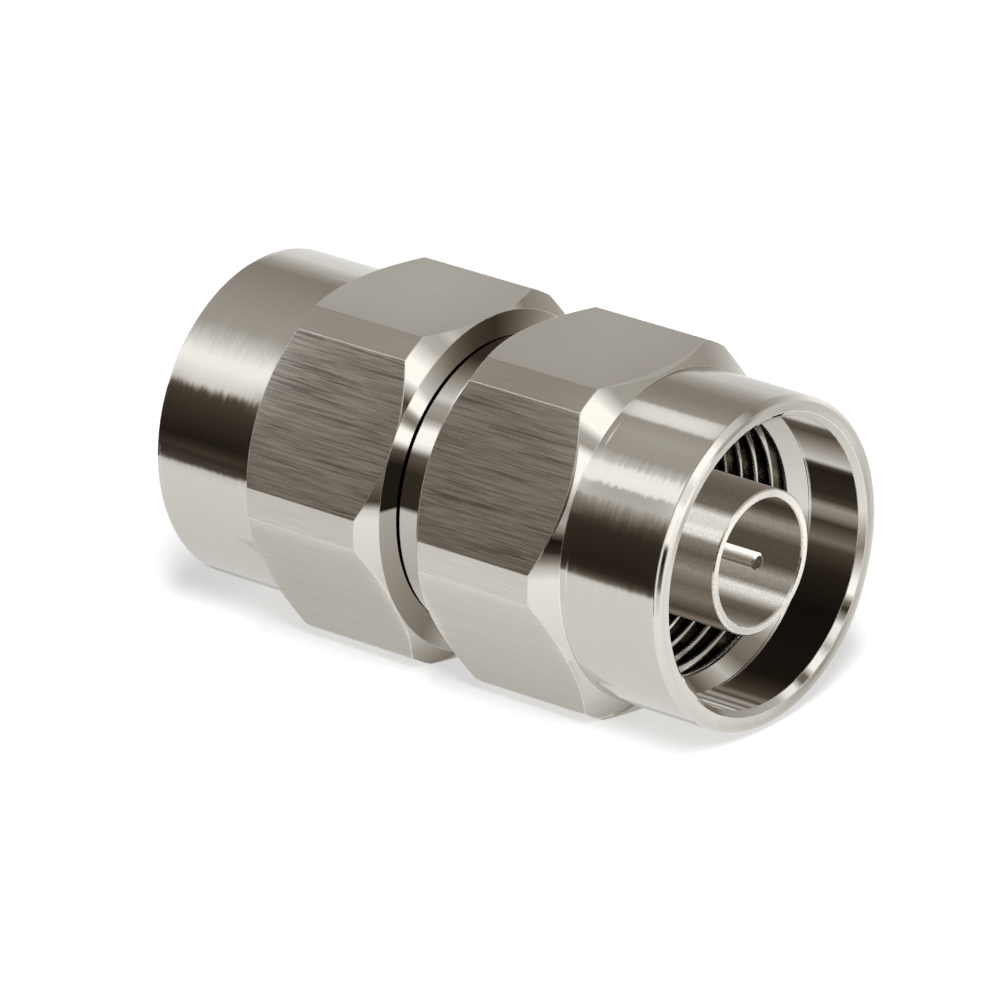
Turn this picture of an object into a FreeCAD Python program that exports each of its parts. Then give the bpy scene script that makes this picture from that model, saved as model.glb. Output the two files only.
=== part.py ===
"""Straight coaxial adapter with a male type N coupling at both ends.

Lengths are in millimetres. X runs along the axis, with its zero at the middle of the adapter.
+Z is up, and the adapter lies on one flat of each coupling nut.
Each end is drawn once as the right-hand one, on +X, and mirrored for the left-hand one.
"""
import FreeCAD
import Part
import math
import os

# over both rims
overall_length = 35.3

# coupling nut, outside
hex_across_flats = 19.0
hex_corner_diameter = 21.0
hex_corner_end = 8.55
rear_chamfer_length = 0.95
front_chamfer_length = 1.1
skirt_diameter = 18.4
rim_rounding = 0.35

# coupling nut, inside
mouth_diameter = 16.0
mouth_depth = 3.6
mouth_edge = 0.33
lead_in_length = 1.05
thread_major_diameter = 15.875
thread_depth = 0.5875
first_crest_width = 0.15
rear_wall = 3.3
rear_bore_edge = 0.2

# body between the nuts
collar_diameter = 16.3
collar_width = 2.36
collar_edge = 0.15
nut_to_collar_gap = 0.12
hub_diameter = 13.0
hub_past_rear_wall = 2.0
boss_diameter = 10.8
boss_length = 1.0
seat_diameter = 9.2
web_width = 4.0
web_bore = 4.9
nut_running_clearance = 0.05

# retaining ring and its two grooves
ring_width = 0.9
ring_section = 1.1
ring_opening_deg = 24.0
hub_groove_depth = 0.6
hub_groove_side_play = 0.03
nut_groove_radial_play = 0.15
nut_groove_side_play = 0.2

# sealing gasket
gasket_thickness = 1.4
gasket_inside_thread = 0.15

# outer contact
sleeve_diameter = 8.0
sleeve_bore = 7.0
sleeve_behind_rim = 0.55
sleeve_edge = 0.08

# insulator
insulator_thickness = 2.0

# centre contact
pin_diameter = 0.95
pin_length = 5.3
pin_behind_sleeve = 0.15
pin_edge = 0.12
shaft_diameter = 2.0
shaft_edge = 0.2
neck_diameter = 1.4
stud_diameter = 0.8
stud_length = 2.0
stud_clearance = 0.02

# two measures of one edge count as equal within this
matching_tolerance = 0.0001

# worked out from the sizes above
thread_minor_diameter = thread_major_diameter - 2 * thread_depth

# places along the axis, from the middle of the adapter towards the right-hand mouth
collar_face = collar_width / 2
nut_rear = collar_face + nut_to_collar_gap
nut_rim = overall_length / 2
rear_wall_front = nut_rear + rear_wall
hub_front = rear_wall_front + hub_past_rear_wall
boss_front = hub_front + boss_length
web_face = web_width / 2
insulator_front = web_face + insulator_thickness
ring_middle = nut_rear + rear_wall / 2
sleeve_end = nut_rim - sleeve_behind_rim
pin_tip = sleeve_end - pin_behind_sleeve
shaft_end = pin_tip - pin_length
mouth_floor = nut_rim - mouth_depth
lead_in_end = mouth_floor - lead_in_length
thread_front = lead_in_end - first_crest_width

origin = FreeCAD.Vector(0, 0, 0)
along_axis = FreeCAD.Vector(1, 0, 0)


def turned(outline, angle=360.0):
    """A solid turned about the axis from a closed outline of (place along the axis, radius) points."""
    points = [FreeCAD.Vector(x, radius, 0) for x, radius in outline]
    wire = Part.makePolygon(points + points[:1])
    return Part.Face(wire).revolve(origin, along_axis, angle)


def tube(start, end, inner_diameter, outer_diameter):
    """A plain turned tube between two places along the axis."""
    inner = inner_diameter / 2
    outer = outer_diameter / 2
    return turned([(start, inner), (end, inner), (end, outer), (start, outer)])


def rod(start, end, diameter):
    """A plain turned rod between two places along the axis."""
    radius = diameter / 2
    return turned([(start, 0), (end, 0), (end, radius), (start, radius)])


def circular_edges(solid, place, diameter):
    """The full circles of one diameter that lie at one place along the axis."""
    found = []
    for edge in solid.Edges:
        curve = edge.Curve
        if isinstance(curve, Part.Circle):
            same_place = abs(curve.Center.x - place) < matching_tolerance
            same_size = abs(curve.Radius - diameter / 2) < matching_tolerance
            if same_place and same_size:
                found.append(edge)
    return found


def mirrored(solid):
    """The left-hand copy of a right-hand piece."""
    return solid.mirror(origin, along_axis)


def hexagon_bar(start, end, across_flats):
    """A bar of hexagon section along the axis, with one flat up and one flat down."""
    corner_radius = across_flats / 2 / math.cos(math.radians(30))
    corners = []
    for side in range(7):
        angle = math.radians(60 * side)
        corners.append(FreeCAD.Vector(start, corner_radius * math.cos(angle), corner_radius * math.sin(angle)))
    face = Part.Face(Part.makePolygon(corners))
    return face.extrude(FreeCAD.Vector(end - start, 0, 0))


def nut_hexagon():
    """The spanner part of the nut: flats milled on turned stock, with a turned chamfer at each end."""
    corner_end = nut_rear + hex_corner_end
    chamfer_end = corner_end + front_chamfer_length
    flat_radius = hex_across_flats / 2
    corner_radius = hex_corner_diameter / 2
    stock = turned([
        (nut_rear, 0),
        (chamfer_end, 0),
        (chamfer_end, skirt_diameter / 2),
        (corner_end, corner_radius),
        (nut_rear + rear_chamfer_length, corner_radius),
        (nut_rear, flat_radius),
    ])
    return stock.common(hexagon_bar(nut_rear, chamfer_end, hex_across_flats))


def nut_bore():
    """Everything that is cut from inside the nut, except the groove of the retaining ring."""
    rear_bore = hub_diameter / 2 + nut_running_clearance
    thread_bore = thread_major_diameter / 2
    crest = thread_minor_diameter / 2
    mouth = mouth_diameter / 2
    past_rim = nut_rim + mouth_edge
    past_rear = nut_rear - rear_bore_edge
    return turned([
        (past_rear, 0),
        (past_rear, rear_bore + 2 * rear_bore_edge),
        (nut_rear + rear_bore_edge, rear_bore),
        (rear_wall_front, rear_bore),
        (rear_wall_front, thread_bore),
        (thread_front - thread_depth, thread_bore),
        (thread_front, crest),
        (lead_in_end, crest),
        (mouth_floor, mouth),
        (nut_rim - mouth_edge, mouth),
        (past_rim, mouth + 2 * mouth_edge),
        (past_rim, 0),
    ])


def ring_bore_diameter():
    """The retaining ring sits on the floor of the hub's groove."""
    return hub_diameter - 2 * hub_groove_depth


def ring_outer_diameter():
    return ring_bore_diameter() + 2 * ring_section


def coupling_nut():
    skirt = rod(nut_rear + hex_corner_end / 2, nut_rim, skirt_diameter)
    skirt = skirt.makeFillet(rim_rounding, circular_edges(skirt, nut_rim, skirt_diameter))
    groove_half = ring_width / 2 + nut_groove_side_play
    groove_diameter = ring_outer_diameter() + 2 * nut_groove_radial_play
    groove = rod(ring_middle - groove_half, ring_middle + groove_half, groove_diameter)
    return nut_hexagon().fuse(skirt).cut([nut_bore(), groove]).removeSplitter()


def main_body():
    """The turned body: a collar between the nuts, and at each end a hub, a boss and the contact's seat."""
    collar = rod(-collar_face, collar_face, collar_diameter)
    rims = circular_edges(collar, collar_face, collar_diameter)
    rims += circular_edges(collar, -collar_face, collar_diameter)
    collar = collar.makeChamfer(collar_edge, rims)
    hub = rod(-hub_front, hub_front, hub_diameter)
    boss = rod(-boss_front, boss_front, boss_diameter)
    groove_half = ring_width / 2 + hub_groove_side_play
    groove = tube(ring_middle - groove_half, ring_middle + groove_half, ring_bore_diameter(), collar_diameter)
    seat = rod(web_face, boss_front, seat_diameter)
    bore = rod(-boss_front, boss_front, web_bore)
    cuts = [bore, groove, mirrored(groove), seat, mirrored(seat)]
    return collar.fuse([hub, boss]).cut(cuts).removeSplitter()


def retaining_ring():
    """An open ring, half in the hub's groove and half in the nut's, with its opening at the top."""
    inner = ring_bore_diameter() / 2
    outer = ring_outer_diameter() / 2
    rear = ring_middle - ring_width / 2
    front = ring_middle + ring_width / 2
    section = [(rear, inner), (front, inner), (front, outer), (rear, outer)]
    ring = turned(section, 360.0 - ring_opening_deg)
    ring.rotate(origin, along_axis, 90.0 + ring_opening_deg / 2)
    return ring


def gasket():
    """The flat rubber ring that the socket's rim presses on. It fits over the boss, against the hub."""
    outer_diameter = thread_minor_diameter - 2 * gasket_inside_thread
    return tube(hub_front, hub_front + gasket_thickness, boss_diameter, outer_diameter)


def outer_contact():
    """The sleeve inside the nut, with a thicker foot pressed into the body's seat."""
    sleeve = tube(insulator_front, sleeve_end, sleeve_bore, sleeve_diameter)
    rims = circular_edges(sleeve, sleeve_end, sleeve_diameter)
    rims += circular_edges(sleeve, sleeve_end, sleeve_bore)
    sleeve = sleeve.makeChamfer(sleeve_edge, rims)
    foot = tube(insulator_front, boss_front, sleeve_bore, seat_diameter)
    return sleeve.fuse(foot).removeSplitter()


def insulator():
    """The bead that holds the centre contact on the axis, between the body's web and the sleeve's foot."""
    return tube(web_face, insulator_front, neck_diameter, seat_diameter)


def centre_contact():
    """One half of the centre contact: the pin, the shaft behind it and the neck inside the bead."""
    pin = pin_diameter / 2
    shaft = shaft_diameter / 2
    neck = neck_diameter / 2
    return turned([
        (0, 0),
        (0, neck),
        (insulator_front, neck),
        (insulator_front, shaft),
        (shaft_end - shaft_edge, shaft),
        (shaft_end, shaft - shaft_edge),
        (shaft_end, pin),
        (pin_tip - pin_edge, pin),
        (pin_tip, pin - pin_edge),
        (pin_tip, 0),
    ])


def centre_contacts():
    """The two halves meet at the middle, where a stud on the right one goes into a hole in the left one."""
    right = centre_contact().fuse(rod(-stud_length, 0, stud_diameter)).removeSplitter()
    hole = rod(-stud_length - stud_clearance, 0, stud_diameter + 2 * stud_clearance)
    left = mirrored(centre_contact()).cut(hole)
    return right, left


def write(shape, node):
    solid = shape.Solids[0]
    solid.exportStep(f"parts/{node}.step")
    print(node, "solids", len(shape.Solids), "valid", solid.isValid(), "volume", round(solid.Volume, 3))


os.makedirs("parts", exist_ok=True)
write(main_body(), "main_body")
paired_pieces = {
    "coupling_nut": coupling_nut(),
    "retaining_ring": retaining_ring(),
    "gasket": gasket(),
    "outer_contact": outer_contact(),
    "insulator": insulator(),
}
for name, piece in paired_pieces.items():
    write(piece, f"{name}_right")
    write(mirrored(piece), f"{name}_left")
contact_right, contact_left = centre_contacts()
write(contact_right, "centre_contact_right")
write(contact_left, "centre_contact_left")
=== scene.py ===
"""Looks of the type N plug-to-plug adapter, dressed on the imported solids, and the studio it is seen in."""

import math

import bpy
from mathutils import Matrix, Vector


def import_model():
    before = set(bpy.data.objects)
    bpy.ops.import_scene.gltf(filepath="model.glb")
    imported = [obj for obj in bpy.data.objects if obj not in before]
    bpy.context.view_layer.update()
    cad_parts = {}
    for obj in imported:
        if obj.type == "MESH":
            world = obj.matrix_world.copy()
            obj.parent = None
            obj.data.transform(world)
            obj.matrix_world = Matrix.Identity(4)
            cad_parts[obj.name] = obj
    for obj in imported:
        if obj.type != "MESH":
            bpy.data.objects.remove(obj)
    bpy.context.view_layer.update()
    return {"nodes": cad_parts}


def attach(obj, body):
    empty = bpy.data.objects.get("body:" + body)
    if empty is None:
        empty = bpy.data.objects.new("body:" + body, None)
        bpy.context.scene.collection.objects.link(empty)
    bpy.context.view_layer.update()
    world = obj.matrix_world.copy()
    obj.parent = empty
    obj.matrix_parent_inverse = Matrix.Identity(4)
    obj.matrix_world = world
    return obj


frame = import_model()

MM = 0.001

# Sizes of the part in millimetres, as in its source. Places are measured along the axis from the middle.
rest_height = -9.5
flat_distance = 9.5
corner_radius = 10.5
skirt_radius = 9.2
collar_radius = 8.15
nut_rear = 1.3
rear_chamfer_end = 2.25
front_chamfer_start = 9.85
hexagon_end = 10.95
rim = 17.65
rim_rounding = 0.35
mouth_radius = 8.0
mouth_edge_start = 17.32
mouth_edge_radius = 8.33
mouth_floor = 14.05
lead_in_end = 13.0
sleeve_radius = 4.0
sleeve_bore_radius = 3.5
sleeve_end = 17.1
pin_radius = 0.475
pin_tip = 16.95
thread_back = 4.7
thread_first_crest = 12.925
thread_pitch = 1.058
thread_root_radius = 7.98
thread_crest_radius = 7.35
thread_crest_width = 0.15
thread_flank = 0.33


class Nodes:
    """Builds the nodes of a material or a world. add() places one, and the helpers below join sums."""

    def __init__(self, owner):
        self.owner = owner
        owner.use_nodes = True
        self.tree = owner.node_tree
        self.tree.nodes.clear()

    def add(self, kind, inputs=None, **settings):
        node = self.tree.nodes.new("ShaderNode" + kind)
        for name, value in settings.items():
            setattr(node, name, value)
        for name, value in (inputs or {}).items():
            self.set(node.inputs[name], value)
        return node

    def set(self, socket, value):
        if isinstance(value, bpy.types.NodeSocket):
            self.tree.links.new(value, socket)
        else:
            socket.default_value = value

    def finish(self, node, output="OutputMaterial"):
        self.add(output, {"Surface": node.outputs[0]})
        return self.owner

    def math(self, operation, *values):
        return self.add("Math", dict(enumerate(values)), operation=operation).outputs[0]

    def vector(self, operation, *values, **inputs):
        return self.add("VectorMath", {**dict(enumerate(values)), **inputs}, operation=operation)

    def above(self, value, limit):
        return self.math("GREATER_THAN", value, limit)

    def below(self, value, limit):
        return self.math("LESS_THAN", value, limit)

    def remap(self, value, from_low, from_high, to_low=0.0, to_high=1.0):
        """The value stretched smoothly from one range to another, and held at its ends."""
        node = self.add("MapRange", {"Value": value, "From Min": from_low, "From Max": from_high,
                                     "To Min": to_low, "To Max": to_high}, interpolation_type="SMOOTHSTEP")
        return node.outputs["Result"]

    def noise(self, place, along, around, detail=3.0, roughness=0.55):
        """Noise with so many grains a millimetre along the axis, and so many across it."""
        scaled = self.vector("MULTIPLY", place, (along, around, around)).outputs[0]
        return self.add("TexNoise", {"Vector": scaled, "Scale": 1.0, "Detail": detail,
                                     "Roughness": roughness}).outputs["Fac"]

    def position(self):
        """The place in millimetres, its distances along and from the axis, and how far it faces along it."""
        here = self.add("TexCoord")
        place = self.vector("SCALE", here.outputs["Object"], Scale=1000.0).outputs[0]
        x, y, z = self.add("SeparateXYZ", {0: place}).outputs
        from_axis = self.add("CombineXYZ", {1: y, 2: z}).outputs[0]
        radius = self.vector("LENGTH", from_axis).outputs["Value"]
        facing = self.add("SeparateXYZ", {0: here.outputs["Normal"]}).outputs[0]
        return place, self.math("ABSOLUTE", x), radius, self.math("ABSOLUTE", facing)

    def both(self, *masks):
        product = masks[0]
        for mask in masks[1:]:
            product = self.math("MULTIPLY", product, mask)
        return product

    def choose(self, mask, value, other):
        return self.add("Mix", {"Factor": mask, 2: other, 3: value}, data_type="FLOAT").outputs[0]

    def choose_colour(self, mask, value, other):
        return self.add("Mix", {"Factor": mask, 6: other, 7: value}, data_type="RGBA").outputs[2]


def new_material(name):
    return Nodes(bpy.data.materials.new(name))


nickel = (0.655, 0.630, 0.575, 1.0)
silver = (0.80, 0.775, 0.72, 1.0)
bronze = (0.60, 0.42, 0.24, 1.0)
# painted highlight: every edge of the metal is coloured near white and made rougher, to show a bright line
# along it
edge_highlight_colour = (0.93, 0.91, 0.87, 1.0)
edge_highlight_roughness = 0.42


def metal(name, build, edge_width=0.00008):
    """A metal whose colour, roughness, grain and depth of grain come from build(shader). The grain tilts the
    surface round the axis only, as brushing along the flats and turning marks on the round parts do."""
    s = new_material(name)
    colour, roughness, grain, depth = build(s)
    facing = s.add("TexCoord").outputs["Normal"]
    round_axis = s.vector("CROSS_PRODUCT", (1, 0, 0), facing).outputs[0]
    tangent = s.add("VectorTransform", {0: round_axis}, vector_type="VECTOR", convert_from="OBJECT",
                    convert_to="WORLD").outputs[0]
    tilt = s.math("MULTIPLY", s.math("SUBTRACT", grain, 0.5), depth)
    shift = s.vector("SCALE", tangent, Scale=tilt).outputs[0]
    rounded = s.add("Bevel", {"Radius": edge_width}, samples=4).outputs[0]
    normal = s.vector("NORMALIZE", s.vector("ADD", rounded, shift).outputs[0]).outputs[0]
    turn = s.vector("DOT_PRODUCT", rounded, s.add("NewGeometry").outputs["Normal"]).outputs["Value"]
    # the edges, found where the rounded normal turns from the true one, take the painted highlight colour
    edge_highlight = s.remap(turn, 0.999, 0.96)
    return s.finish(s.add("BsdfPrincipled", {
        "Base Color": s.choose_colour(edge_highlight, edge_highlight_colour, colour), "Metallic": 1.0,
        "Roughness": s.choose(edge_highlight, edge_highlight_roughness, roughness), "Normal": normal}))


def nut_finish(s):
    """Brushed flats, turned skirts, polished chamfers and rim, painted shade in the roots of the thread, and
    stronger streaks on every other flat, whose darker ones are painted shade.
    """
    place, along, radius, facing = s.position()
    upward = s.add("SeparateXYZ", {0: s.add("TexCoord").outputs["Normal"]}).outputs[2]
    on_flat = s.both(s.below(facing, 0.04), s.below(along, hexagon_end - 0.02),
                     s.above(radius, skirt_radius + 0.1))
    chamfer = s.both(s.above(facing, 0.1), s.above(radius, mouth_radius + 0.4), s.below(along, rim - 0.45))
    rim_edge = s.both(s.above(facing, 0.05), s.below(facing, 0.98), s.above(along, rim - 0.40))
    polished = s.math("MAXIMUM", chamfer, rim_edge)
    turned = s.noise(place, 4.6, 0.6, 3.0, 0.65)
    brushed = s.noise(place, 0.28, 9.0, 4.0, 0.68)
    scored_and_shaded = s.noise(place, 0.20, 7.0, 2.0, 0.6)
    grain = s.choose(on_flat, brushed, turned)
    roughness = s.choose(on_flat, 0.14, s.choose(polished, 0.055, 0.085))
    # the turning marks are deepest half way up the sides
    marked = s.both(s.remap(upward, 0.12, 0.35), s.remap(upward, 0.90, 0.70))
    depth = s.choose(on_flat, 0.040, s.choose(polished, 0.012, s.choose(marked, 0.085, 0.028)))
    # every other flat is brushed harder, with stronger streaks, and its darker streaks and scored lines are
    # painted shade: with h the height of its normal, 3h - 4hhh is 1 there and -1 between
    cubed = s.math("MULTIPLY", s.math("MULTIPLY", upward, upward), upward)
    alternate = s.math("SUBTRACT", s.math("MULTIPLY", upward, 3.0), s.math("MULTIPLY", cubed, 4.0))
    brushed_and_shaded_flat = s.remap(alternate, 0.5, 0.95)
    streak = s.remap(brushed, 0.36, 0.64)
    soft_colour = s.choose_colour(streak, (0.665, 0.640, 0.585, 1), (0.625, 0.600, 0.545, 1))
    brushed_and_shaded_colour = s.choose_colour(streak, (0.80, 0.772, 0.712, 1), (0.47, 0.450, 0.408, 1))
    # painted shade: the darkest scored lines on these flats
    brushed_and_shaded_colour = s.choose_colour(s.remap(scored_and_shaded, 0.57, 0.65), (0.34, 0.322, 0.292, 1), brushed_and_shaded_colour)
    flat_colour = s.choose_colour(brushed_and_shaded_flat, brushed_and_shaded_colour, soft_colour)
    ringed = s.choose_colour(s.remap(turned, 0.3, 0.7), (0.662, 0.637, 0.582, 1), (0.648, 0.623, 0.568, 1))
    colour = s.choose_colour(on_flat, flat_colour, ringed)
    # painted shade: the roots of the thread, between its ridges, are coloured near black
    thread_root_shade = s.both(s.below(radius, mouth_radius + 0.1), s.below(along, lead_in_end - 0.3),
                  s.remap(radius, 7.58, 7.86))
    colour = s.choose_colour(thread_root_shade, (0.070, 0.058, 0.045, 1), colour)
    return colour, roughness, grain, depth


def turned_finish(colour, roughness, depth=0.03, along_grains=11.0, around_grains=1.2, speckle=0.0):
    """Turning marks, with specks that are lighter and darker than the colour by a share of it."""
    def build(s):
        place = s.position()[0]
        grain = s.noise(place, along_grains, around_grains)
        varied = s.remap(grain, 0.3, 0.7, roughness - 0.02, roughness + 0.03)
        light = tuple(c * (1 + speckle) for c in colour[:3]) + (1.0,)
        deep = tuple(c * (1 - speckle) for c in colour[:3]) + (1.0,)
        specks = s.remap(s.noise(place, 9.0, 9.0, 3.0, 0.7), 0.36, 0.64)
        return s.choose_colour(specks, light, deep), varied, grain, depth
    return build


def soft_finish(name, colour, roughness, grains, relief):
    """Rubber or plastic with a fine even grain."""
    s = new_material(name)
    height = s.noise(s.position()[0], grains, grains)
    bump = s.add("Bump", {"Strength": 1.0, "Distance": relief, "Height": height}).outputs[0]
    varied = s.remap(height, 0.3, 0.7, roughness - 0.06, roughness + 0.06)
    return s.finish(s.add("BsdfPrincipled", {"Base Color": colour, "Roughness": varied, "Normal": bump}))


finishes = {
    "nut_plating": metal("nut_nickel", nut_finish),
    "body_plating": metal("body_nickel", turned_finish(nickel, 0.08, 0.02)),
    "sleeve_plating": metal("sleeve_nickel", turned_finish(nickel, 0.10, 0.11, 4.0, 2.5, 0.12)),
    "contact_plating": metal("contact_silver", turned_finish(silver, 0.16, speckle=0.12), 0.00003),
    "spring_bronze": metal("ring_bronze", turned_finish(bronze, 0.25)),
    "gasket_rubber": soft_finish("gasket_rubber_black", (0.030, 0.029, 0.028, 1.0), 0.62, 9.0, 0.00001),
    "insulator_plastic": soft_finish("insulator_white", (0.80, 0.78, 0.73, 1.0), 0.42, 6.0, 0.000004),
}
for node in frame["nodes"].values():
    for slot in node.material_slots:
        slot.material = finishes[slot.material.name]


def new_object(name, mesh):
    thing = bpy.data.objects.new(name, mesh)
    bpy.context.scene.collection.objects.link(thing)
    return thing


def thread(side):
    """The ridges of the coupling thread inside one nut, as one band wound round the axis."""
    steps = 96
    turns = (thread_first_crest - thread_back) / thread_pitch
    count = int(turns * steps)
    half_crest = thread_crest_width / 2
    profile = [(-half_crest - thread_flank, thread_root_radius), (-half_crest, thread_crest_radius),
               (half_crest, thread_crest_radius), (half_crest + thread_flank, thread_root_radius)]
    points = []
    for step in range(count + 1):
        turn = step / steps
        angle = math.tau * turn
        middle = thread_first_crest - thread_pitch * turn
        for shift, radius in profile:
            x = min(middle + shift, thread_first_crest + half_crest)
            # right-handed on both nuts: each winds the same way seen from its own mouth
            y = side * radius * math.cos(angle)
            z = -radius * math.sin(angle)
            points.append((side * x * MM, y * MM, z * MM))
    faces = []
    for step in range(count):
        for strip in range(len(profile) - 1):
            a = 4 * step + strip
            faces.append((a, a + 1, a + 5, a + 4))
    mesh = bpy.data.meshes.new("thread")
    mesh.from_pydata(points, [], faces)
    mesh.validate()
    for face in mesh.polygons:
        face.use_smooth = True
    mesh.set_sharp_from_angle(angle=math.radians(30))
    mesh.materials.append(finishes["nut_plating"])
    piece = new_object("thread_right" if side > 0 else "thread_left", mesh)
    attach(piece, "nut_right" if side > 0 else "nut_left")


thread(1)
thread(-1)


# The studio. The surround, the sheets of light and the dark card are seen only in the metal's reflections.
eye = Vector((308.963, -359.400, 197.092))
ground = rest_height + 0.2


def tinted(value):
    """Studio brightness as a colour. The photo's dark reflections are warm, and its bright ones neutral."""
    dark = max(0.0, min(1.0, 1 - value / 0.9))
    red = value * (1 + 0.29 * dark ** 3 + 0.03 * dark)
    blue = value * (1 - 0.22 * dark ** 3 - 0.07 * dark)
    return red, value, blue, 1.0


def one_sided_light():
    """Light from the front of a face, nothing from its back."""
    s = new_material("reflected_light")
    light = s.add("Emission", {"Color": s.add("Attribute", attribute_name="brightness").outputs["Color"]})
    clear = s.add("BsdfTransparent")
    back = s.add("NewGeometry").outputs["Backfacing"]
    return s.finish(s.add("MixShader", {0: back, 1: light.outputs[0], 2: clear.outputs[0]}))


reflected_light = one_sided_light()


def show_only_reflected(name, points, faces, strengths):
    """A stage piece of light that only the metal sees, with a strength at each point."""
    mesh = bpy.data.meshes.new(name)
    mesh.from_pydata([tuple(c * MM for c in point) for point in points], [], faces)
    layer = mesh.color_attributes.new("brightness", "FLOAT_COLOR", "POINT")
    layer.data.foreach_set("color", [c for value in strengths for c in tinted(value)])
    mesh.materials.append(reflected_light)
    thing = new_object(name, mesh)
    thing.visible_camera = False
    thing.visible_diffuse = False
    thing.visible_transmission = False
    thing.visible_volume_scatter = False
    thing.visible_shadow = False


def level_at(column, angle):
    for (a, v), (b, w) in zip(column, column[1:]):
        if angle <= b:
            return v + (w - v) * max(0.0, angle - a) / (b - a)
    return column[-1][1]


def patched(column, first, last, level):
    """The column with one level between two angles."""
    return sorted([(a, v) for a, v in column if not first <= a <= last] + [(first, level), (last, level)])


def around(place, radius, t):
    return Vector((place, -radius * math.cos(t), radius * math.sin(t)))


# The surround: a tunnel of flags and soft boxes, by the angle up from the level in front of the object. The
# first column is what faces the object's left, which the round parts and the flats mirror. The others, each
# further to the right, are what the chamfers that face right mirror. All were set against the photo.
left = [(-3, 0.028), (4, 0.03), (14, 0.035), (20, 0.045), (25, 0.08), (29, 0.11), (32, 0.16), (35, 0.50),
        (39, 0.95), (44, 1.15), (50, 1.33), (57, 1.33), (62, 1.05), (67, 0.72), (72, 0.50), (78, 0.43),
        (90, 0.46), (102, 0.43), (112, 0.42), (120, 0.33), (132, 0.30), (142, 0.31), (150, 0.40), (157, 0.55),
        (165, 0.75), (173, 0.86), (184, 0.92)]
middle = [(-3, 0.05), (30, 0.05), (45, 0.6), (60, 1.0), (85, 1.0), (100, 0.7), (113, 0.62), (124, 0.56),
          (163, 0.56), (184, 0.75)]
right = [(-3, 0.08), (20, 0.04), (34, 0.05), (50, 0.5), (66, 1.2), (78, 1.7), (90, 1.7), (96, 0.95),
         (104, 0.70), (113, 0.62), (124, 0.56), (163, 0.56), (184, 0.75)]
far_right = [(-3, 0.08), (20, 0.04), (34, 0.06), (55, 0.4), (80, 0.4), (92, 0.5), (99, 1.7), (110, 1.9),
             (115, 0.8), (120, 0.5), (128, 0.75), (134, 0.6), (145, 0.50), (184, 0.7)]
end_right = [(-3, 0.1), (25, 0.04), (50, 0.3), (64, 0.85), (74, 0.85), (84, 0.38), (94, 0.36), (100, 0.9),
             (112, 1.2), (124, 0.5), (184, 0.6)]
surround = [(-2500, left), (-60, left), (60, middle), (300, middle), (600, right), (950, far_right),
            (1200, end_right), (1500, end_right), (2500, end_right)]


def light_all_round():
    radius = 600.0
    angles = [-3 + 1.5 * k for k in range(126)]
    points = [around(place, radius, math.radians(angle)) for angle in angles for place, column in surround]
    strengths = [level_at(column, angle) for angle in angles for place, column in surround]
    wide = len(surround)
    faces = []
    for row in range(len(angles) - 1):
        for a in range(row * wide, row * wide + wide - 1):
            faces.append((a, a + wide, a + wide + 1, a + 1))
    show_only_reflected("surround", points, faces, strengths)


light_all_round()


def as_light(level):
    """How strong a light must be for the nickel that mirrors it to look this bright, 0 to 255."""
    return ((level / 255 + 0.055) / 1.055) ** 2.4 / 0.63


def sheet_over(name, rows, reach, side=1, lowest=ground):
    """A sheet of light where the photo camera's mirrored lines of sight meet it, so far from the surface, or
    on the floor before that. Each row holds points of the surface, their normals and their levels."""
    points, strengths, feet = [], [], []
    for row in rows:
        for spot, normal, level in row:
            sight = (spot - eye).normalized()
            facing = -sight.dot(normal)
            mirrored = sight + 2 * facing * normal
            # where the surface turns away from the camera, the sheet follows its normal instead
            seen = max(0.0, min(1.0, (facing - 0.01) / 0.05))
            away = (mirrored * seen + normal * (1 - seen)).normalized()
            step = reach
            if away.z < 0:
                step = min(reach, max(0.05, (lowest - spot.z) / away.z))
            points.append(spot + away * step)
            strengths.append(as_light(level))
            feet.append(spot)
    wide = len(rows[0])
    faces = []
    for row in range(len(rows) - 1):
        for a in range(row * wide, row * wide + wide - 1):
            quad = (a, a + 1, a + wide + 1, a + wide)
            upright = (points[quad[1]] - points[quad[0]]).cross(points[quad[3]] - points[quad[0]])
            if upright.dot(feet[a] - points[a]) < 0:
                quad = quad[::-1]
            faces.append(quad if side > 0 else quad[::-1])
    show_only_reflected(name, [(side * p.x, p.y, p.z) for p in points], faces, strengths)


def light_over_outline(name, outline, columns, reach, sides=(1,), cut_by_flats=False):
    """Light for a turned surface. The outline holds places, radii and leans of the normal, in degrees from
    straight out towards the end. Each has a column of levels by angle round the axis. A chamfer is cut by the
    nut's flats."""
    first, last = columns[0][0][0], columns[0][-1][0]
    angles = sorted({a for column in columns for a, v in column} | set(range(first, last + 1, 3)))
    rows = []
    for angle in angles:
        t = math.radians(angle)
        row = []
        for (place, radius, lean), column in zip(outline, columns):
            b = math.radians(lean)
            if cut_by_flats:
                flat = flat_distance / math.cos(math.radians(angle % 60 - 30))
                place += max(0.0, radius - flat) * math.tan(b)
                radius = min(radius, flat)
            normal = Vector((math.sin(b), -math.cos(b) * math.cos(t), math.cos(b) * math.sin(t)))
            row.append((around(place, radius, t), normal, level_at(column, angle)))
        rows.append(row)
    for side in sides:
        sheet_over(name + ("_right" if side > 0 else "_left"), rows, reach, side)


def light_over_turned(name, outline, column, reach, sides=(1,), cut_by_flats=False):
    """Light for a turned surface with one column of levels all along its outline."""
    light_over_outline(name, outline, [column] * len(outline), reach, sides, cut_by_flats)


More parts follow.
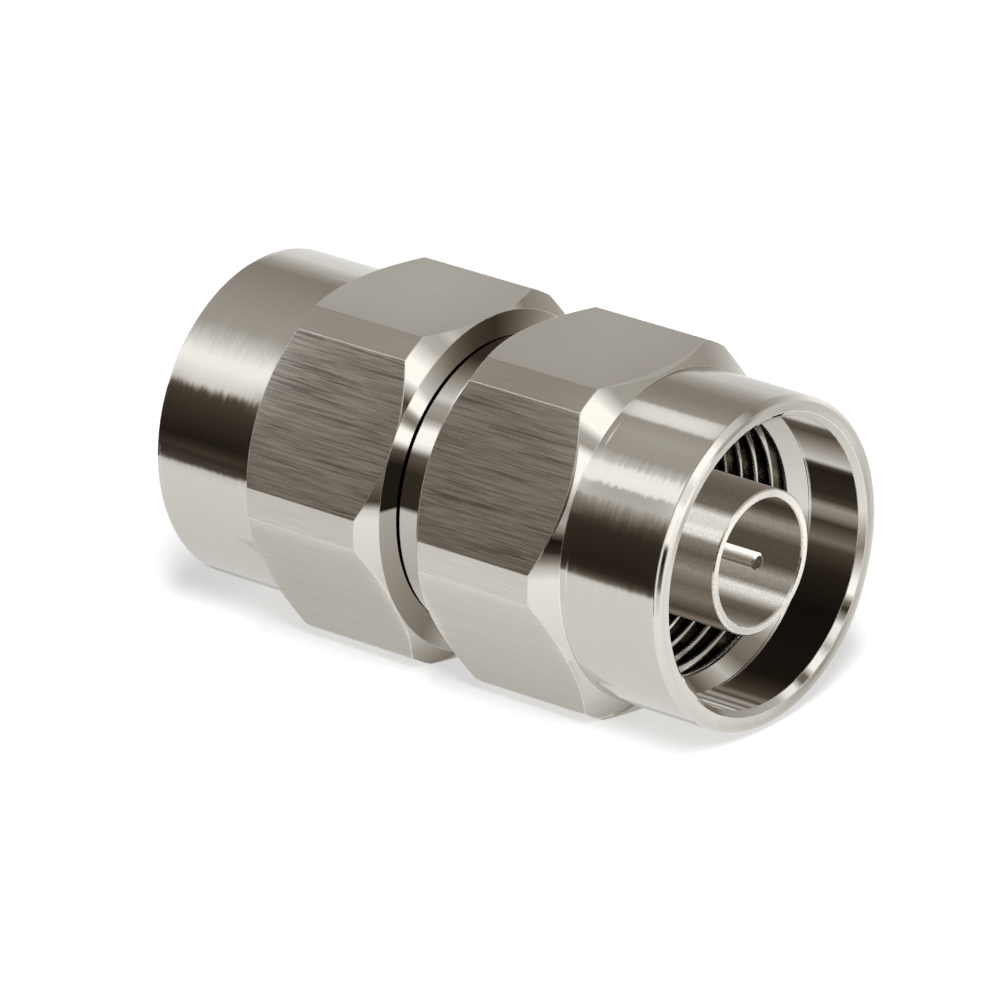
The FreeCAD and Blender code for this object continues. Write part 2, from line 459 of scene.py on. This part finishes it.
def light_over_flat(name, angle, first, last, levels, reach=60.0, lowest=ground):
    """Light for one flat of a nut, with levels by the distance across it."""
    t = math.radians(angle)
    normal = Vector((0, -math.cos(t), math.sin(t)))
    across = Vector((0, math.sin(t), math.cos(t)))
    rows = [[(Vector((x, 0, 0)) + normal * flat_distance + across * s, normal, level) for x in (first, last)]
            for s, level in levels]
    sheet_over(name, rows, reach, lowest=lowest)


# What each surface mirrors in the photo: brightness from 0 to 255 by the angle round the axis, or for a flat
# by the distance across it. Set against the photo, partly by measuring how bright the metal is in it. The
# sheets are shaped to the part's own surfaces and suit the photo's camera only.
far_reach = 60.0
both_ends = (1, -1)

skirt_right = [(-50, 190), (6, 200), (7, 110), (8, 65), (10, 35), (13, 30), (24, 40), (27, 60), (34, 170),
               (38, 160), (39, 230), (42, 235), (45, 230), (46, 190), (50, 145), (58, 155), (64, 140),
               (65, 215), (68, 220), (71, 210), (72, 140), (80, 120), (85, 120), (97, 180), (112, 190)]
skirt_left = [(-50, 180), (-1, 200), (2, 190), (3, 60), (8, 55), (12, 25), (28, 60), (29, 95), (30, 165),
              (31, 205), (38, 235), (41, 235), (53, 150), (83, 120), (96, 195), (112, 195)]
light_over_turned("skirt_light_right", [(11.0, skirt_radius, 0), (17.5, skirt_radius, 0)],
                  skirt_right, far_reach)
light_over_turned("skirt_light_left", [(-17.6, skirt_radius, 0), (-10.9, skirt_radius, 0)],
                  skirt_left, far_reach)

for name, first, last, front, top, low, upper, lower in (
        ("right", 1.5, 10.7, [(-5.5, 103), (0, 100), (5.5, 94)], [(-5.5, 160), (0, 154), (5.5, 164)],
         [(-4.5, 169), (-3, 173), (0, 180), (3, 186), (4.5, 189)], 130, 197),
        ("left", -10.7, -1.5, [(-5.5, 108), (0, 108), (5.5, 112)], [(-5.5, 162), (0, 163), (5.5, 166)],
         [(-4.5, 169), (0, 171), (3, 175), (4.5, 180)], 138, 190)):
    light_over_flat("front_flat_light_" + name, 30, first, last, front)
    light_over_flat("top_flat_light_" + name, 90, first, last, top)
    light_over_flat("low_flat_light_" + name, -30, first, last, low, lowest=ground + 0.1)
    corner = [(first, corner_radius, 0), (last, corner_radius, 0)]
    light_over_turned("upper_corner_light_" + name, corner, [(54, upper), (66, upper)], far_reach)
    light_over_turned("lower_corner_light_" + name, corner, [(-6, lower), (6, lower)], 15.0)

# The chamfers lean 49.8 degrees at the front of a nut and 46.5 at its rear.
front_chamfer = [(-72, 110), (-66, 150), (-48, 195), (3, 225), (7, 180), (12, 40), (16, 20), (19, 120),
                 (22, 160), (27, 150), (37, 245), (45, 250), (48, 150), (51, 165), (54, 250), (61, 250),
                 (68, 155), (112, 140), (134, 200), (140, 190)]
rear_chamfer_left = [(-92, 180), (-72, 170), (-69, 105), (-44, 180), (5, 220), (8, 200), (11, 60), (18, 100),
                     (30, 115), (40, 100), (44, 55), (51, 250), (57, 250), (64, 175), (68, 165), (72, 190),
                     (76, 165), (102, 160), (107, 120), (142, 170)]
light_over_turned("chamfer_light_right",
                  [(front_chamfer_start, corner_radius, 49.8), (hexagon_end, skirt_radius, 49.8)],
                  front_chamfer, 0.4, cut_by_flats=True)
light_over_turned("chamfer_light_left",
                  [(-rear_chamfer_end, corner_radius, 46.5), (-nut_rear, flat_distance, 46.5)],
                  rear_chamfer_left, 0.4, cut_by_flats=True)

end_face = [(-60, 150), (-48, 110), (7, 160), (8, 25), (24, 25), (29, 80), (32, 240), (33, 250), (36, 250),
            (38, 160), (40, 110), (42, 150), (44, 250), (48, 250), (51, 195), (68, 95), (80, 55), (92, 45),
            (124, 155)]
light_over_turned("end_face_light", [(-nut_rear, 9.6, 90), (-nut_rear, 8.12, 90)], end_face, 0.15)
collar = [(-45, 185), (-20, 165), (7, 185), (9, 40), (22, 40), (29, 85), (32, 220), (34, 245), (39, 250),
          (44, 135), (50, 155), (53, 200), (76, 40), (92, 40), (112, 130)]
light_over_turned("collar_light", [(-1.1, collar_radius, 0), (1.2, collar_radius, 0)], collar, 0.35)
rear_chamfer = [(-40, 190), (-4, 195), (4, 90), (14, 80), (40, 100), (54, 240), (64, 190)]
light_over_turned("rear_chamfer_light",
                  [(nut_rear, flat_distance, -46.5), (rear_chamfer_end, corner_radius, -46.5)],
                  rear_chamfer, 0.08, cut_by_flats=True)

fillet = [(-60, 200), (0, 220), (8, 190), (11, 95), (20, 20), (23, 50), (26, 245), (38, 250), (41, 220),
          (46, 220), (50, 250), (61, 250), (67, 200), (75, 185), (83, 115), (114, 225), (122, 230),
          (160, 180), (196, 240), (205, 240), (221, 175), (300, 200)]
rim_outer = [(-60, 205), (16, 210), (40, 250), (48, 225), (56, 235), (63, 155), (80, 145), (88, 180),
             (200, 200), (250, 170), (300, 200)]
rim_inner = [(-60, 210), (16, 215), (31, 180), (48, 205), (100, 175), (144, 205), (166, 175), (206, 190),
             (240, 140), (272, 195), (300, 205)]
fillet_outline = [(rim - rim_rounding + rim_rounding * math.sin(math.radians(b)),
                   skirt_radius - rim_rounding + rim_rounding * math.cos(math.radians(b)), b)
                  for b in (4, 16, 32, 56, 72, 88)]
rim_face = [(rim, 8.72, 90), (rim, 8.62, 90), (rim, mouth_edge_radius, 90)]
fillet_start = patched(fillet, 4, 62, 30)
fillet_line = patched(fillet, 7, 34, 232)
light_over_outline("rim_light", fillet_outline + rim_face,
                   [fillet_start, fillet_line, fillet, fillet, fillet_line, rim_outer, rim_outer, rim_inner,
                    rim_inner], 0.4)
light_over_turned("rim_light", [(rim, 8.9, 90), (rim, mouth_edge_radius, 90)], rim_inner, 0.4, (-1,))
light_over_turned("far_fillet_light", [(-x, r, -b) for x, r, b in fillet_outline[:4]], skirt_left, 0.5)

mouth_edge = [(100, 180), (178, 215), (192, 120), (205, 245), (210, 250), (213, 120), (216, 40), (223, 235),
              (228, 225), (232, 170), (237, 240), (243, 240), (247, 95), (250, 95), (254, 230), (259, 230),
              (264, 170), (296, 140), (302, 100), (310, 105), (318, 200), (330, 210)]
light_over_turned("mouth_edge_light", [(rim, mouth_edge_radius, 135), (mouth_edge_start, mouth_radius, 135)],
                  mouth_edge, 0.5, both_ends)
wall = [(90, 125), (131, 180), (135, 80), (141, 65), (159, 190), (161, 60), (163, 30), (174, 40), (177, 60),
        (180, 140), (183, 120), (186, 50), (193, 105), (196, 60), (205, 30), (220, 15), (254, 20), (267, 60),
        (270, 110), (273, 60), (276, 150), (279, 75), (282, 160), (285, 80), (288, 185), (292, 95),
        (296, 200), (300, 120), (306, 185), (312, 95), (325, 120)]
light_over_turned("wall_light", [(mouth_edge_start, mouth_radius, 180), (mouth_floor, mouth_radius, 180)],
                  wall, 0.12, both_ends)
lead_in = [(90, 120), (128, 125), (136, 180), (182, 210), (192, 120), (205, 60), (221, 215), (226, 235),
           (240, 120), (252, 100), (262, 180), (280, 80), (290, 190), (325, 150)]
light_over_turned("lead_in_light",
                  [(mouth_floor, mouth_radius, 148), (lead_in_end, thread_crest_radius, 148)],
                  lead_in, 0.06, both_ends)

sleeve_front = [(-15, 215), (45, 250), (100, 215), (165, 250), (300, 200), (345, 215)]
light_over_turned("sleeve_end_light", [(sleeve_end, sleeve_radius, 90), (sleeve_end, sleeve_bore_radius, 90)],
                  sleeve_front, 0.4, both_ends)
pin = [(-62, 150), (-45, 155), (-15, 75), (0, 120), (15, 100), (30, 120), (58, 235), (120, 225)]
light_over_turned("pin_light", [(11.8, pin_radius, 0), (16.82, pin_radius, 0)], pin, 0.3, both_ends)
pin_edge = [(-30, 60), (30, 90), (50, 250), (225, 245), (245, 90), (330, 60)]
pin_end = [(-30, 62), (330, 62)]
light_over_outline("pin_end_light", [(16.84, pin_radius, 20), (pin_tip, 0.36, 80), (pin_tip, 0.32, 90),
                                     (pin_tip, 0.02, 90)],
                   [pin_edge, pin_edge, pin_end, pin_end], 0.12, both_ends)
sleeve_outside = [(-61, 50), (-45, 105), (-34, 60), (-16, 110), (-5, 95), (7, 130), (20, 85), (31, 125),
                  (35, 220), (40, 235), (44, 210), (53, 220), (60, 100), (76, 85), (150, 130), (180, 100)]
light_over_turned("sleeve_light", [(9.0, sleeve_radius, 0), (17.02, sleeve_radius, 0)], sleeve_outside, 0.15,
                  both_ends)
sleeve_inside = [(120, 100), (146, 50), (157, 70), (168, 135), (174, 135), (186, 75), (207, 70), (217, 150),
                 (228, 120), (234, 225), (240, 210), (252, 90), (260, 80), (300, 150)]
light_over_turned("sleeve_bore_light", [(9.0, sleeve_bore_radius, 180), (17.02, sleeve_bore_radius, 180)],
                  sleeve_inside, 0.12, both_ends)

dark_card = [(-900, -900, ground), (900, -900, ground), (900, -48, ground), (-22, -48, ground),
             (-27, -33, ground), (-900, -33, ground)]
show_only_reflected("dark_card_front", dark_card, [tuple(range(len(dark_card)))], [0.028] * len(dark_card))


def floor():
    """A pale floor that keeps the object's shadow. The camera and the metal see it white."""
    half = 3000 * MM
    z = rest_height * MM
    mesh = bpy.data.meshes.new("floor")
    corners = [(-half, -half, z), (half, -half, z), (half, half, z), (-half, half, z)]
    mesh.from_pydata(corners, [], [(0, 1, 2, 3)])
    s = new_material("floor_white")
    plain = s.add("BsdfDiffuse", {"Color": (0.58, 0.58, 0.58, 1)})
    rays = s.add("LightPath")
    mirrored = s.math("MAXIMUM", rays.outputs["Is Glossy Ray"], rays.outputs["Is Transmission Ray"])
    to_camera = s.math("MULTIPLY", rays.outputs["Is Camera Ray"], 0.55)
    glow = s.math("ADD", to_camera, s.math("MULTIPLY", mirrored, 0.40))
    light = s.add("Emission", {"Color": (1, 1, 1, 1), "Strength": glow})
    mesh.materials.append(s.finish(s.add("AddShader", {0: plain.outputs[0], 1: light.outputs[0]})))
    thing = new_object("floor", mesh)


floor()


def world():
    """White for the camera and the metal, and dim as a light on the rest."""
    s = Nodes(bpy.data.worlds.new("studio"))
    rays = s.add("LightPath")
    seen = s.math("MAXIMUM", rays.outputs["Is Camera Ray"], rays.outputs["Is Glossy Ray"])
    seen = s.math("MAXIMUM", seen, rays.outputs["Is Transmission Ray"])
    strength = s.add("MapRange", {"Value": seen, "To Min": 0.12, "To Max": 1.0}).outputs["Result"]
    background = s.add("Background", {"Color": (1, 1, 1, 1), "Strength": strength})
    bpy.context.scene.world = s.finish(background, "OutputWorld")


world()


def soft_lamp(name, place, width, height, power):
    """A soft lamp turned to the middle of the object, which the camera and the metal don't see."""
    light = bpy.data.lights.new(name, "AREA")
    light.shape = "ELLIPSE"
    light.size = width * MM
    light.size_y = height * MM
    light.energy = power
    lamp = new_object(name, light)
    lamp.location = [c * MM for c in place]
    lamp.rotation_euler = (-Vector(place)).to_track_quat("-Z", "Y").to_euler()
    lamp.visible_glossy = False
    lamp.visible_camera = False


soft_lamp("soft_lamp_front", (710, -750, 1474), 400, 1200, 37)


def camera():
    """The photo's camera: its place, its turn and its lens, fitted to the object's edges in the photo."""
    focal_length_in_pixels = 9548.3
    picture_width_in_pixels = 1000.0
    data = bpy.data.cameras.new("photo_camera")
    data.sensor_width = 36.0
    data.lens = data.sensor_width * focal_length_in_pixels / picture_width_in_pixels
    data.clip_start = 0.01
    data.clip_end = 20.0
    data.dof.use_dof = False
    right = Vector((0.762315, 0.646930, -0.018923))
    up = Vector((-0.236027, 0.305111, 0.922604))
    ahead = Vector((-0.602633, 0.698849, -0.385284))
    turn = Matrix((right, up, -ahead)).transposed()
    seen = new_object("photo_camera", data)
    seen.matrix_world = Matrix.Translation(eye * MM) @ turn.to_4x4()
    bpy.context.scene.camera = seen


camera()
bpy.context.scene.view_settings.view_transform = "Standard"
bpy.context.view_layer.update()
